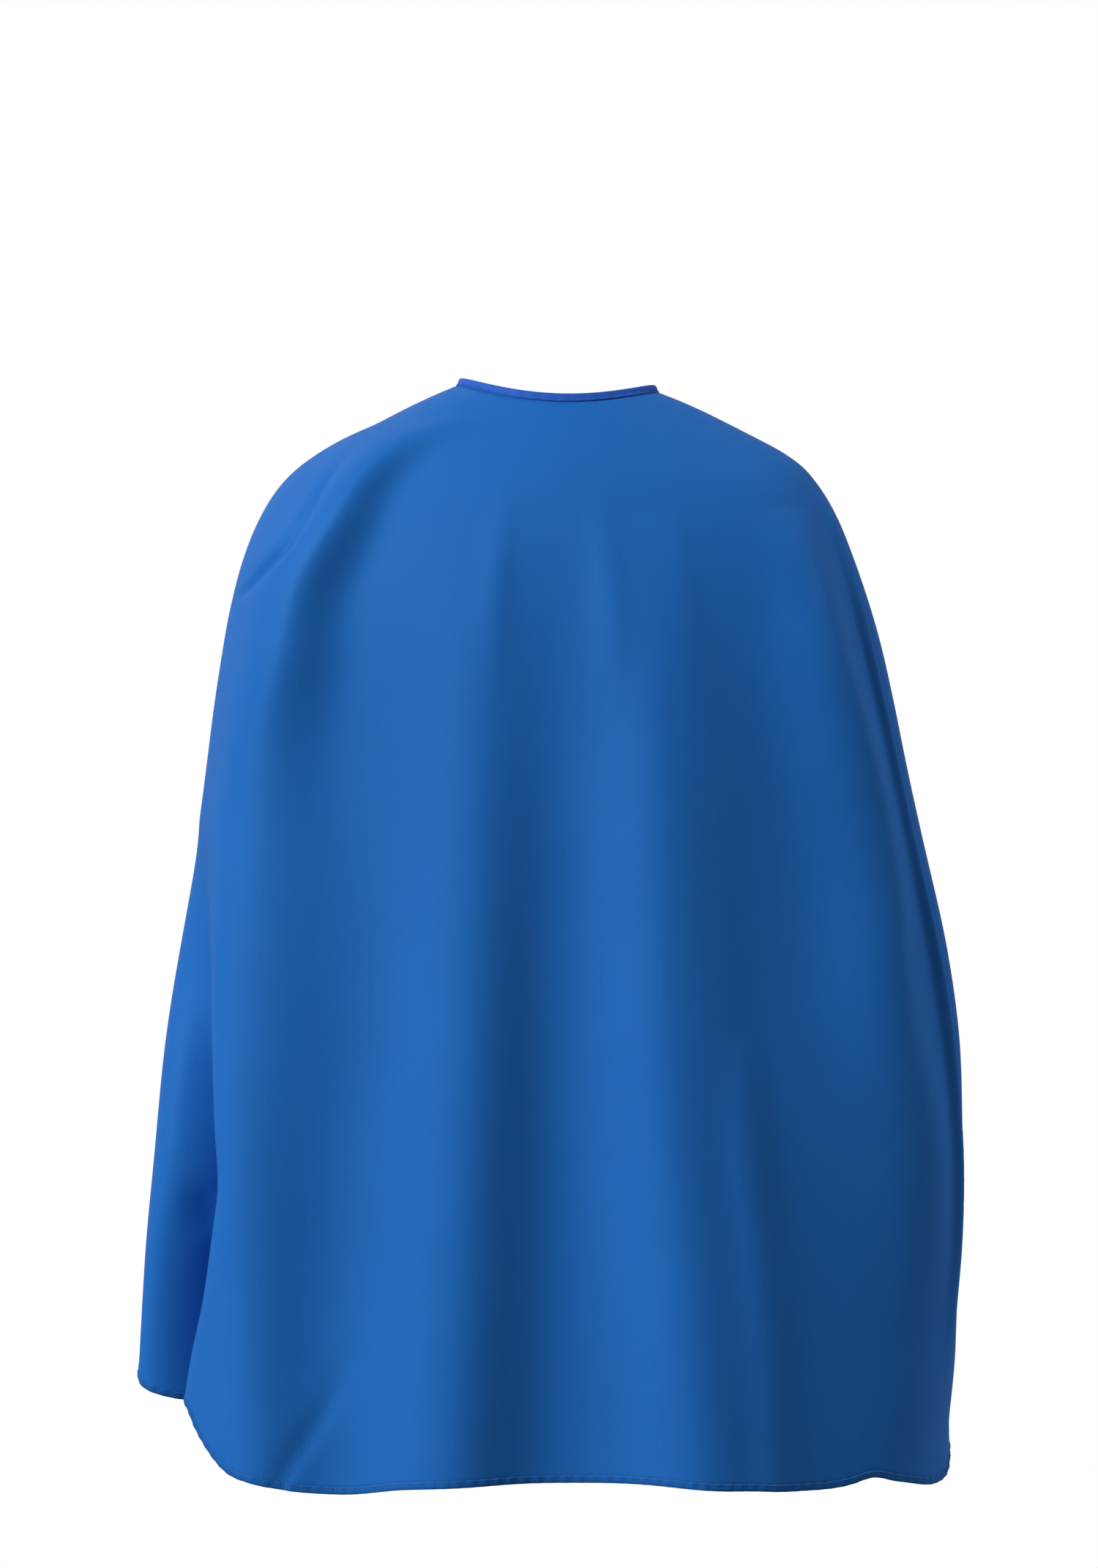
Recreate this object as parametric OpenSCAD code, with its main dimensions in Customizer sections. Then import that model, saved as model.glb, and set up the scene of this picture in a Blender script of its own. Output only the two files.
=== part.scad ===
// Adult superhero cape, draped as worn, open at the front.
// Frame: origin at the centre of the neck opening, +Z up, the wearer faces -Y,
// so the back of the cape is on +Y and the wearer's left is +X.

/* [Cape] */
// Length of the cloth from the neckline to the hem at the centre back
back_length = 935; // [800:5:1050]
// Length of the cloth from the neckline to the hem over the left shoulder
left_length = 965; // [800:5:1050]
// Length of the cloth from the neckline to the hem over the right shoulder
right_length = 1040; // [800:5:1070]
// Length of the cloth from the neckline to the hem along each front edge
front_length = 885; // [740:5:980]
// Thickness of the solid that stands for the cloth
cloth_t = 3; // [2:0.5:4]
// Radius of the rounded corner between each front edge and the hem
corner_r = 70; // [20:5:120]
// Height of the fold crests at the hem
fold_height = 16; // [0:1:24]

/* [Neckline] */
// Half width of the neck opening, shoulder to shoulder
neck_half_w = 84; // [75:1:95]
// Half depth of the neck opening, front to back
neck_half_d = 70; // [62:1:80]
// Height of the bias binding
binding_h = 8; // [6:0.5:12]
// Thickness of the bias binding
binding_t = 4; // [3.6:0.1:5]

/* [Closure] */
// Height of the closure strap
strap_h = 22; // [18:1:28]
// Free length of the closure strap, in degrees round the neck
strap_sweep = 38; // [34:1:42]
// Thickness of the closure strap
strap_t = 1.6; // [1:0.1:2.5]
// Thickness of each hook or loop pad
pad_t = 0.8; // [0.6:0.1:1.2]
// Clearance between the hook pad and the loop pad
pad_gap = 0.4; // [0.3:0.1:0.8]

/* [Care label] */
// Half width of the care label
label_half_w = 16; // [10:1:24]
// Length of the care label
label_l = 44; // [30:1:60]
// Thickness of the care label
label_t = 0.6; // [0.4:0.1:1]

/* [Swing] */
// Height of the shoulder axis about which the cape swings
swing_z = -80; // [-100:5:-60]
// Radius about the shoulder axis at which the yoke ends and the drape begins
swing_r = 200; // [180:5:220]
// Half of the gap between the yoke and the drape, along that radius
swing_gap = 2.5; // [2:0.5:4]

/* [Hidden] */

SATIN = [0.09, 0.36, 0.68];
BINDING = [0.12, 0.33, 0.70];
THREAD = [0.07, 0.26, 0.55];
HOOK = [0.05, 0.06, 0.08];
LOOP = [0.08, 0.10, 0.14];
LABEL = [0.93, 0.93, 0.90];

// Slope of the cloth below the horizontal, in degrees, at lengths of cloth from the neckline
SIDE_SLOPE = [[0, 20], [60, 25], [120, 27], [145, 36], [165, 50], [195, 62], [225, 70],
              [290, 74], [340, 79], [400, 81], [520, 79], [640, 82], [760, 86], [860, 89]];
BACK_SLOPE = [[0, 52], [60, 58], [110, 70], [160, 79], [240, 85], [400, 87], [900, 89]];
FRONT_SLOPE = [[0, 52], [60, 60], [110, 74], [160, 82], [240, 86], [400, 88], [900, 89]];
// Height of the neckline at the sides, the back and the front
NECK_SIDE_Z = 18;
NECK_BACK_Z = 2;
NECK_FRONT_Z = -34;
// Angle of each front edge round the wearer, 0 at the back, at lengths of cloth from the neckline
FRONT_EDGE = [[0, 176], [40, 175], [90, 170], [160, 165], [300, 157], [500, 149], [750, 141], [970, 136]];
// Angles of the fold crests round the wearer, and how wide each is
FOLD_CRESTS = [-48, -18, 12, 45];
FOLD_WIDTH = 9;
// Cloth length at which folds begin, and at which they reach their full height
FOLD_START = 120;
FOLD_FULL = 800;
// Place on the cloth, from 0 at the back to 1 at the front edge, where a side wrap begins
WRAP_PLACE = 0.46;
// Part of the cloth's width, next to the front edge, that the rounded corner takes
CORNER_PLACE = 0.12;
// Distance of each row of stitches from its edge, and width of a thread
STITCH_INSET = 3;
THREAD_W = 0.7;
// Place on the cloth where the hem thread meets the front edges' threads
HEM_THREAD_PLACE = 0.995;
// How far a sewn piece sinks into the piece it is sewn to
SEW_SINK = 0.3;
// Angle of the strap's stitched root, and of the ends of the sewn part and of the pads
STRAP_ROOT = 174;
STRAP_SEWN = 160;
PAD_START = 189;
PAD_END = STRAP_ROOT + strap_sweep - 2;
// Degrees left open between the strap's sewn end and its free part, so that it can fold back
STRAP_GAP = 0.8;
// Steps of cloth length used to trace the slopes
TRACE = 5;
TRACE_END = 1100;
// Grid of the yoke and of the drape
YOKE_COLS = 48;
YOKE_ROWS = 9;
DRAPE_COLS = 60;
DRAPE_ROWS = 13;

// Running sums of a slope table: distance out or down at each length of cloth
function trace_out(table, start) =
    [for (s = 0, d = start; s <= TRACE_END; d = d + TRACE * cos(lookup(s, table)), s = s + TRACE) [s, d]];
function trace_down(table, start) =
    [for (s = 0, d = start; s <= TRACE_END; d = d - TRACE * sin(lookup(s, table)), s = s + TRACE) [s, d]];

SIDE_X = trace_out(SIDE_SLOPE, neck_half_w);
SIDE_Z = trace_down(SIDE_SLOPE, NECK_SIDE_Z);
BACK_Y = trace_out(BACK_SLOPE, neck_half_d);
BACK_Z = trace_down(BACK_SLOPE, NECK_BACK_Z);
FRONT_Y = trace_out(FRONT_SLOPE, neck_half_d);
FRONT_Z = trace_down(FRONT_SLOPE, NECK_FRONT_Z);

function smooth(x) = let (c = min(1, max(0, x))) c * c * (3 - 2 * c);

// Angle of the front edge at a length of cloth, and length of the cloth at a place u from -1 to 1
function edge_angle(s) = lookup(s, FRONT_EDGE);
function cloth_length(u) =
    let (t = u * edge_angle(900), c = cos(t), across = sin(t) * sin(t))
    let (middle_length = c > 0 ? back_length : front_length, side_length = u > 0 ? left_length : right_length)
    let (plain = middle_length * (1 - across) + side_length * across)
    let (q = max(0, 1 - (1 - abs(u)) / CORNER_PLACE))
    plain - corner_r * (1 - sqrt(max(0, 1 - q * q)));

// Height of the folds at angle t and cloth length s
function fold(t, s) =
    fold_height * smooth((s - FOLD_START) / (FOLD_FULL - FOLD_START))
    * max([for (c = FOLD_CRESTS) exp(-pow((t - c) / FOLD_WIDTH, 2))]);

// Middle of the cloth at angle t round the wearer and cloth length s from the neckline
function middle(t, s) =
    let (sn = sin(t), c = cos(t), square = 2 + 0.4 * smooth(s / 300))
    let (k = pow(pow(abs(sn), square) + pow(abs(c), square), -1 / square))
    let (hx = lookup(s, SIDE_X), hy = lookup(s, c > 0 ? BACK_Y : FRONT_Y))
    let (mid_z = lookup(s, c > 0 ? BACK_Z : FRONT_Z))
    let (outward = [sn / hx, c / hy, 0])
    [hx * k * sn, hy * k * c, mid_z * c * c + lookup(s, SIDE_Z) * sn * sn]
    + fold(t, s) * outward / norm(outward);

// Point at a distance off from the middle of the cloth, positive outside
function at(t, s, off) =
    let (along = middle(t + 0.5, s) - middle(t - 0.5, s))
    let (down = middle(t, s + 2) - middle(t, max(0, s - 2)))
    let (n = cross(along, down))
    middle(t, s) + off * n / norm(n);

// How many degrees one millimetre round the wearer takes
function degrees_per_mm(t, s) = 180 / (PI * norm([lookup(s, SIDE_X) * cos(t), lookup(s, FRONT_Y) * sin(t)]));

// Cloth length at which place u is a radius r from the swing axis
function reach(u, r, low = 60, high = 560, tries = 26) =
    let (s = (low + high) / 2, p = middle(u * edge_angle(s), s))
    tries == 0 ? s
    : norm([p.y, p.z - swing_z]) < r ? reach(u, r, s, high, tries - 1)
    : reach(u, r, low, s, tries - 1);

// A closed patch of cloth: place(a, b) gives [angle, cloth length] for a and b from 0 to 1
module patch(place, cols, rows, inside, outside) {
    w = cols + 1;
    count = w * (rows + 1);
    points = [for (off = [outside, inside]) for (j = [0:rows]) for (i = [0:cols])
        let (p = place(i / cols, j / rows)) at(p[0], p[1], off)];
    skin = [for (j = [0:rows - 1]) for (i = [0:cols - 1]) let (a = j * w + i)
        each [[a, a + w + 1, a + 1], [a, a + w, a + w + 1]]];
    back = [for (f = skin) [f[2] + count, f[1] + count, f[0] + count]];
    rim = concat(
        [for (i = [0:cols]) i],
        [for (j = [1:rows]) j * w + cols],
        [for (i = [1:cols]) rows * w + cols - i],
        [for (j = [1:rows - 1]) (rows - j) * w]
    );
    walls = [for (k = [0:len(rim) - 1]) let (a = rim[k], b = rim[(k + 1) % len(rim)])
        each [[a, b, a + count], [b, b + count, a + count]]];
    polyhedron(points, concat(skin, back, walls));
}

// A patch between two angles and two cloth lengths
module plain_patch(t0, t1, s0, s1, inside, outside, cols = 12, rows = 2)
    patch(function(a, b) [t0 + (t1 - t0) * a, s0 + (s1 - s0) * b], cols, rows, inside, outside);

// Four rows of stitches round a rectangle, as long threads between two offsets from the cloth's middle
module stitched_box(t0, t1, s0, s1, inside, outside) {
    sweep = THREAD_W * 180 / (PI * neck_half_w);
    clear = 1.7 * THREAD_W;
    plain_patch(t0, t1, s0, s0 + THREAD_W, inside, outside, 8, 1);
    plain_patch(t0, t1, s1 - THREAD_W, s1, inside, outside, 8, 1);
    plain_patch(t0, t0 + sweep, s0 + clear, s1 - clear, inside, outside, 1, 4);
    plain_patch(t1 - sweep, t1, s0 + clear, s1 - clear, inside, outside, 1, 4);
}

HALF = cloth_t / 2;
THREAD_IN = HALF - SEW_SINK;
THREAD_OUT = HALF + THREAD_W / 2;

// Upper part of the cape panel, which rests on the shoulders
module shoulder_yoke() {
    color(SATIN) patch(function(a, b)
        let (u = 2 * a - 1, s = b * reach(u, swing_r - swing_gap)) [u * edge_angle(s), s],
        YOKE_COLS, YOKE_ROWS, -HALF, HALF);
}

// Part of the hanging cape panel: place(a) goes from -1, the right front edge, to 1, the left one
module drape_part(place, cols) {
    color(SATIN) patch(function(a, b)
        let (u = place(a), top = reach(u, swing_r + swing_gap))
        let (s = top + (cloth_length(u) - top) * b) [u * edge_angle(s), s],
        cols, DRAPE_ROWS, -HALF, HALF);
}

module back_drape() {
    drape_part(function(a) WRAP_PLACE * (2 * a - 1), DRAPE_COLS / 2);
}

// The columns of a wrap crowd towards its rounded front corner
module left_wrap() {
    drape_part(function(a) WRAP_PLACE + (1 - WRAP_PLACE) * sin(90 * a), DRAPE_COLS / 4);
}

module right_wrap() {
    drape_part(function(a) -WRAP_PLACE - (1 - WRAP_PLACE) * sin(90 * (1 - a)), DRAPE_COLS / 4);
}

// Folded bias tape that stands on the neckline
module neck_binding() {
    lap = 1;
    turns = 64;
    outline = [for (a = [0:45:315]) [binding_t / 2 * cos(a + 22.5) / cos(22.5), a + 22.5]];
    rings = [for (i = [0:turns]) let (t = 352 * i / turns - 176)
        let (foot = middle(t, 0), out = [sin(t) / neck_half_w, cos(t) / neck_half_d, 0])
        let (o = out / norm(out), up = [0, 0, 1] - 0.25 * o)
        [for (p = outline) let (high = sin(p[1]) > 0)
            foot + o * p[0] + up / norm(up)
            * (high ? binding_h - lap - 1 + sin(p[1]) : -lap + (1 + sin(p[1])) / 2)]];
    n = len(outline);
    walls = [for (i = [0:turns - 1]) for (j = [0:n - 1]) let (a = i * n + j, b = i * n + (j + 1) % n)
        each [[a, b, b + n], [a, b + n, a + n]]];
    ends = [[for (j = [0:n - 1]) n - 1 - j], [for (j = [0:n - 1]) turns * n + j]];
    color(BINDING) polyhedron([for (r = rings) each r], concat(walls, ends));
}

// Stitches under the binding, from the right front corner to the sewn end of the strap
module neck_stitching() {
    color(THREAD) plain_patch(-STRAP_ROOT, STRAP_SEWN - 1, STITCH_INSET, STITCH_INSET + THREAD_W,
        THREAD_IN, THREAD_OUT, 48, 1);
}

// Thread along the left front edge, between two cloth lengths
module edge_thread(s0, s1, rows) {
    patch(function(a, b)
        let (s = s0 + (s1 - s0) * b, t = edge_angle(s))
        [t - (STITCH_INSET + THREAD_W * (1 - a)) * degrees_per_mm(t, s), s],
        1, rows, THREAD_IN, THREAD_OUT);
}

// Threads along both front edges
module edge_threads(s0, s1, rows) {
    edge_thread(s0, s1, rows);
    mirror([1, 0, 0]) edge_thread(s0, s1, rows);
}

module yoke_edge_stitching() {
    below_strap = STRAP_TOP + strap_h + 4;
    color(THREAD) edge_threads(below_strap, reach(1, swing_r - swing_gap) - 2, 10);
}

module hem_stitching() {
    color(THREAD) {
        edge_threads(reach(1, swing_r + swing_gap) + 2, cloth_length(1) - 2 * STITCH_INSET, 16);
        patch(function(a, b)
            let (place = sin(90 * (2 * a - 1)), s = cloth_length(place) - STITCH_INSET - THREAD_W * (1 - b))
            [HEM_THREAD_PLACE * place * edge_angle(s), s],
            96, 1, THREAD_IN, THREAD_OUT);
    }
}

STRAP_TOP = 2;
STRAP_IN = HALF + pad_t + pad_gap + pad_t;
STRAP_OUT = STRAP_IN + strap_t;

// Fixed end of the closure strap, sewn to the wearer's left front corner
module strap_sewn_end() {
    color(SATIN) plain_patch(STRAP_SEWN, STRAP_ROOT - STRAP_GAP, STRAP_TOP, STRAP_TOP + strap_h,
        HALF - SEW_SINK, STRAP_OUT, 8, 3);
}

module strap_stitching() {
    color(THREAD) stitched_box(STRAP_SEWN + 1.5, STRAP_ROOT - 2, STRAP_TOP + 2, STRAP_TOP + strap_h - 2,
        STRAP_OUT - SEW_SINK, STRAP_OUT + THREAD_W / 2);
}

// Free part of the closure strap, which crosses the throat
module closure_strap() {
    color(SATIN) plain_patch(STRAP_ROOT, STRAP_ROOT + strap_sweep, STRAP_TOP, STRAP_TOP + strap_h,
        STRAP_IN, STRAP_OUT, 20, 3);
}

module hook_pad() {
    color(HOOK) plain_patch(PAD_START, PAD_END, STRAP_TOP + 2, STRAP_TOP + strap_h - 2,
        STRAP_IN - pad_t, STRAP_IN, 12, 3);
}

// Stitches of the hook pad, seen on the outside of the strap
module hook_pad_stitching() {
    color(THREAD) stitched_box(PAD_START + 1, PAD_END - 1, STRAP_TOP + 3, STRAP_TOP + strap_h - 3,
        STRAP_OUT - SEW_SINK, STRAP_OUT + THREAD_W / 2);
}

module loop_pad() {
    color(LOOP) plain_patch(PAD_START - 1, PAD_END + 1, STRAP_TOP + 2, STRAP_TOP + strap_h - 2,
        HALF - SEW_SINK, HALF + pad_t, 14, 3);
}

// Stitches of the loop pad, seen on the inside of the cloth
module loop_pad_stitching() {
    color(THREAD) stitched_box(PAD_START, PAD_END, STRAP_TOP + 3, STRAP_TOP + strap_h - 3,
        -HALF - THREAD_W / 2, SEW_SINK - HALF);
}

// Cloth length at the label's top edge, its slope, and the room left for the curve of the neck
LABEL_TOP = 4;
LABEL_SLOPE = 55;
LABEL_ROOM = 1.8;

// Blank care label, which hangs inside the back of the neck
module care_label() {
    edge = at(0, LABEL_TOP, -HALF - LABEL_ROOM);
    color(LABEL) translate(edge) rotate([90 - LABEL_SLOPE, 0, 0])
        translate([-label_half_w, -label_t, -label_l]) cube([2 * label_half_w, label_t, label_l]);
}

// Stitched tape that holds the top edge of the label
module label_stitching() {
    color(THREAD) patch(function(a, b)
        let (s = LABEL_TOP - 3 + 1.8 * b)
        [(2 * a - 1) * (label_half_w - 1) * degrees_per_mm(0, s), s],
        10, 1, -HALF - LABEL_ROOM, SEW_SINK - HALF);
}

shoulder_yoke();
neck_binding();
neck_stitching();
yoke_edge_stitching();
strap_sewn_end();
strap_stitching();
loop_pad();
loop_pad_stitching();
label_stitching();
back_drape();
left_wrap();
right_wrap();
hem_stitching();
closure_strap();
hook_pad();
hook_pad_stitching();
care_label();
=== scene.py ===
"""Superhero cape: how its cloth, hem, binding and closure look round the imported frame.

Metres, +Z up. The wearer faces -Y, so the back of the cape is on +Y and the wearer's left is +X.
Cloth is placed by t, the angle in degrees round the wearer, 0 at the back and positive to the left,
and by s, the length of cloth from the neckline.
"""
import math

import bpy
import numpy as np
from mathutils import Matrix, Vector


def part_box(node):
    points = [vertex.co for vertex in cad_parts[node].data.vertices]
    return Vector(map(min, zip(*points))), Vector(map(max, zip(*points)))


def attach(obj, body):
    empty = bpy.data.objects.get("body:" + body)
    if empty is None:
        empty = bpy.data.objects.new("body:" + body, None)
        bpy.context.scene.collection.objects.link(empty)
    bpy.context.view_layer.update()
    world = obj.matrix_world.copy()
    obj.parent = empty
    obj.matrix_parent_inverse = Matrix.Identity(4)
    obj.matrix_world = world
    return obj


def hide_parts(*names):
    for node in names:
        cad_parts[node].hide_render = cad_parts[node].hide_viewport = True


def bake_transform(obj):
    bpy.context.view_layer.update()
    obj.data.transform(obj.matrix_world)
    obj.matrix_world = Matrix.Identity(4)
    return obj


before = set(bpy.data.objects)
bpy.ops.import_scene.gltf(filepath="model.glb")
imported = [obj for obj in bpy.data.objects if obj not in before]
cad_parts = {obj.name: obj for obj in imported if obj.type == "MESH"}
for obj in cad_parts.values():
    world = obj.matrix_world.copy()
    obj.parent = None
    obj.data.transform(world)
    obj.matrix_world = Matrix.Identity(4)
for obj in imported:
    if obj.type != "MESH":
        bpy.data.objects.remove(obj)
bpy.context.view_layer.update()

random = np.random.default_rng(7)

# ---------------------------------------------------------------- camera

camera_data = bpy.data.cameras.new("camera")
camera_data.lens = 94.3
camera = bpy.data.objects.new("camera", camera_data)
camera.location = (0, 3.6, -0.328)
camera.rotation_euler = (math.pi / 2, 0, math.pi)
bpy.context.collection.objects.link(camera)
bpy.context.scene.camera = camera

# ---------------------------------------------------------------- drape of the cloth

STEP = 0.005
LENGTHS = np.arange(0, 1.1, STEP)
# Slope of the cloth below the horizontal, in degrees, at lengths of cloth from the neckline
SIDE_SLOPE = [(0, 20), (0.06, 25), (0.12, 27), (0.145, 36), (0.165, 50), (0.195, 62), (0.225, 70),
              (0.29, 74), (0.34, 79), (0.4, 81), (0.52, 79), (0.64, 82), (0.76, 86), (0.86, 89)]
BACK_SLOPE = [(0, 52), (0.06, 58), (0.11, 70), (0.16, 79), (0.24, 85), (0.4, 87), (0.9, 89)]
FRONT_SLOPE = [(0, 52), (0.06, 60), (0.11, 74), (0.16, 82), (0.24, 86), (0.4, 88), (0.9, 89)]
# Angle of each front edge at lengths of cloth from the neckline
FRONT_EDGE = [(0, 176), (0.04, 175), (0.09, 170), (0.16, 165), (0.3, 157), (0.5, 149), (0.75, 141),
              (0.97, 136)]
# Length of the cloth at angles round the wearer, from the right front edge to the left one
HEM = [(-137, 0.885), (-112, 0.93), (-90, 0.995), (-73, 1.040), (-67, 1.036), (-54, 1.008), (-48, 0.992),
       (-44, 0.989), (-25, 0.955), (-13, 0.937), (-3, 0.932), (7, 0.933), (19, 0.946), (28, 0.965),
       (35, 0.974), (41, 0.978), (45, 0.979), (49, 0.973), (53, 0.962), (56, 0.950), (59, 0.951),
       (62, 0.959), (67, 0.971), (73, 0.969), (90, 0.943), (112, 0.914), (137, 0.885)]
# How much wider the drape hangs on the left and on the right than SIDE_SLOPE says
LEFT_WIDER = [(0, 0), (0.04, -0.003), (0.09, -0.007), (0.145, -0.007), (0.19, -0.003), (0.29, -0.005),
              (0.35, -0.009), (0.42, -0.012), (0.5, -0.014), (0.6, -0.014), (0.68, -0.013), (0.8, -0.013),
              (0.9, -0.011), (1.0, -0.008)]
RIGHT_WIDER = [(0, 0), (0.2, -0.002), (0.29, 0), (0.4, 0.0035), (0.52, 0.008), (0.6, 0.0110), (0.68, 0.0100),
               (0.74, 0.0055), (0.81, 0.0005), (0.87, -0.002), (0.95, -0.006), (1.0, -0.012)]
# The lower front corners are rounded over this share of u, with this radius
CORNER_RADIUS = 0.07
CORNER_PLACE = 0.12
# HEM is read at the angle that a place u has at this length of cloth
HEM_READ_AT = 0.9
# The neckline, and how it sits askew: to the right, and higher on the left
NECK_HALF_WIDTH, NECK_HALF_DEPTH = 0.084, 0.07
NECK_SIDE_Z, NECK_BACK_Z, NECK_FRONT_Z = 0.018, 0.002, -0.034
NECK_WIDER, NECK_SHIFT, NECK_TILT, NECK_REACH = 0.0025, -0.0075, 0.003, 0.07
# The drape's section is an ellipse at the neck, and grows squarer over a length of cloth
SQUARER, SQUARER_REACH = 0.4, 0.3


def smooth(x):
    x = np.clip(x, 0, 1)
    return x * x * (3 - 2 * x)


def curve(knots, x):
    """Smooth curve through (place, value) knots, level beyond them."""
    at, value = np.array(knots, float).T
    slope = np.gradient(value, at)
    i = np.clip(np.searchsorted(at, x) - 1, 0, len(at) - 2)
    gap = at[i + 1] - at[i]
    f = np.clip((x - at[i]) / gap, 0, 1)
    rise = (1 + 2 * f) * (1 - f) ** 2
    return (value[i] * rise + value[i + 1] * (1 - rise)
            + gap * (slope[i] * f * (1 - f) ** 2 - slope[i + 1] * f * f * (1 - f)))


def trace(slopes, out, height):
    """How far out and how high the cloth is at each of LENGTHS."""
    a = np.radians(np.interp(LENGTHS, *zip(*slopes)))
    run = np.concatenate([[0], np.cumsum(np.cos(a))[:-1]]) * STEP
    drop = np.concatenate([[0], np.cumsum(np.sin(a))[:-1]]) * STEP
    return out + run, height - drop


SIDE_X, SIDE_Z = trace(SIDE_SLOPE, NECK_HALF_WIDTH, NECK_SIDE_Z)
BACK_Y, BACK_Z = trace(BACK_SLOPE, NECK_HALF_DEPTH, NECK_BACK_Z)
FRONT_Y, FRONT_Z = trace(FRONT_SLOPE, NECK_HALF_DEPTH, NECK_FRONT_Z)


def base(t, s):
    """The drape without its folds."""
    sn, c = np.sin(np.radians(t)), np.cos(np.radians(t))
    square = 2 + SQUARER * smooth(s / SQUARER_REACH)
    k = (np.abs(sn) ** square + np.abs(c) ** square) ** (-1 / square)
    half_depth = np.where(c > 0, np.interp(s, LENGTHS, BACK_Y), np.interp(s, LENGTHS, FRONT_Y))
    middle_z = np.where(c > 0, np.interp(s, LENGTHS, BACK_Z), np.interp(s, LENGTHS, FRONT_Z))
    near_neck = np.exp(-((s / NECK_REACH) ** 2))
    half_width = np.interp(s, LENGTHS, SIDE_X) + np.where(sn > 0, curve(LEFT_WIDER, s), curve(RIGHT_WIDER, s))
    x = half_width * k * sn + (NECK_WIDER * sn + NECK_SHIFT) * near_neck
    z = middle_z * c * c + np.interp(s, LENGTHS, SIDE_Z) * sn * sn + NECK_TILT * sn * near_neck
    return np.stack([x, half_depth * k * c, z], -1)


# ---------------------------------------------------------------- folds

# Folds that run down the back. Each knot is (height above the origin, x of the crest, how far the crest
# stands proud, half width to the left, half width to the right).
BACK_FOLDS = {
    "middle_left": [(-0.93, 0.085, 0.031, 0.072, 0.058), (-0.775, 0.077, 0.029, 0.068, 0.056),
                    (-0.53, 0.0675, 0.023, 0.062, 0.050), (-0.40, 0.064, 0.018, 0.058, 0.048),
                    (-0.29, 0.061, 0.013, 0.055, 0.045), (-0.16, 0.058, 0.004, 0.050, 0.040),
                    (-0.10, 0.055, 0, 0.050, 0.040)],
    "middle_right": [(-0.93, -0.132, 0.030, 0.056, 0.060), (-0.775, -0.120, 0.030, 0.054, 0.066),
                     (-0.53, -0.101, 0.027, 0.050, 0.074), (-0.40, -0.098, 0.023, 0.050, 0.070),
                     (-0.29, -0.095, 0.017, 0.048, 0.060), (-0.16, -0.086, 0.006, 0.046, 0.045),
                     (-0.10, -0.082, 0, 0.045, 0.040)],
    "left_shoulder": [(-0.93, 0.243, 0.024, 0.042, 0.045), (-0.775, 0.249, 0.028, 0.042, 0.045),
                      (-0.65, 0.255, 0.030, 0.042, 0.052), (-0.53, 0.255, 0.030, 0.042, 0.060),
                      (-0.407, 0.246, 0.029, 0.042, 0.054), (-0.284, 0.233, 0.029, 0.042, 0.036),
                      (-0.222, 0.218, 0.029, 0.044, 0.029), (-0.16, 0.2035, 0.026, 0.044, 0.023),
                      (-0.105, 0.1735, 0.021, 0.045, 0.018), (-0.063, 0.1480, 0.015, 0.040, 0.015),
                      (-0.032, 0.117, 0.008, 0.036, 0.016), (-0.011, 0.080, 0, 0.036, 0.016)],
    "left_crease": [(-0.172, 0.262, 0, 0.005, 0.005), (-0.163, 0.250, -0.003, 0.005, 0.005),
                    (-0.150, 0.235, -0.0055, 0.005, 0.005), (-0.134, 0.2175, -0.0055, 0.005, 0.005),
                    (-0.113, 0.203, -0.0045, 0.005, 0.005), (-0.075, 0.184, -0.0025, 0.006, 0.005),
                    (-0.040, 0.163, 0, 0.006, 0.005)],
    "hem_crease": [(-0.935, 0.228, -0.003, 0.011, 0.005), (-0.90, 0.213, -0.003, 0.011, 0.005),
                   (-0.86, 0.190, -0.002, 0.010, 0.006), (-0.80, 0.165, 0, 0.010, 0.008)],
    "right_streak": [(-0.93, -0.190, 0.006, 0.020, 0.020), (-0.775, -0.181, 0.007, 0.020, 0.020),
                     (-0.62, -0.163, 0.005, 0.018, 0.018), (-0.54, -0.155, 0, 0.016, 0.016)],
    "right_shoulder": [(-0.80, -0.330, 0, 0.045, 0.030), (-0.65, -0.320, 0.009, 0.045, 0.028),
                       (-0.53, -0.290, 0.015, 0.045, 0.026), (-0.407, -0.278, 0.019, 0.044, 0.024),
                       (-0.284, -0.252, 0.022, 0.040, 0.022), (-0.22, -0.235, 0.020, 0.036, 0.022),
                       (-0.15, -0.222, 0.011, 0.034, 0.022), (-0.09, -0.205, 0, 0.030, 0.022)],
    "upper_left": [(-0.26, 0.044, 0, 0.014, 0.012), (-0.15, 0.043, 0.0022, 0.014, 0.012),
                   (-0.07, 0.036, 0, 0.014, 0.012)],
    "upper_middle": [(-0.28, -0.055, 0, 0.016, 0.012), (-0.16, -0.052, 0.0025, 0.016, 0.012),
                     (-0.07, -0.040, 0, 0.014, 0.012)],
    "upper_right": [(-0.27, -0.118, 0, 0.016, 0.012), (-0.15, -0.113, 0.0015, 0.016, 0.012),
                    (-0.06, -0.095, 0, 0.014, 0.012)],
}

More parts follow.
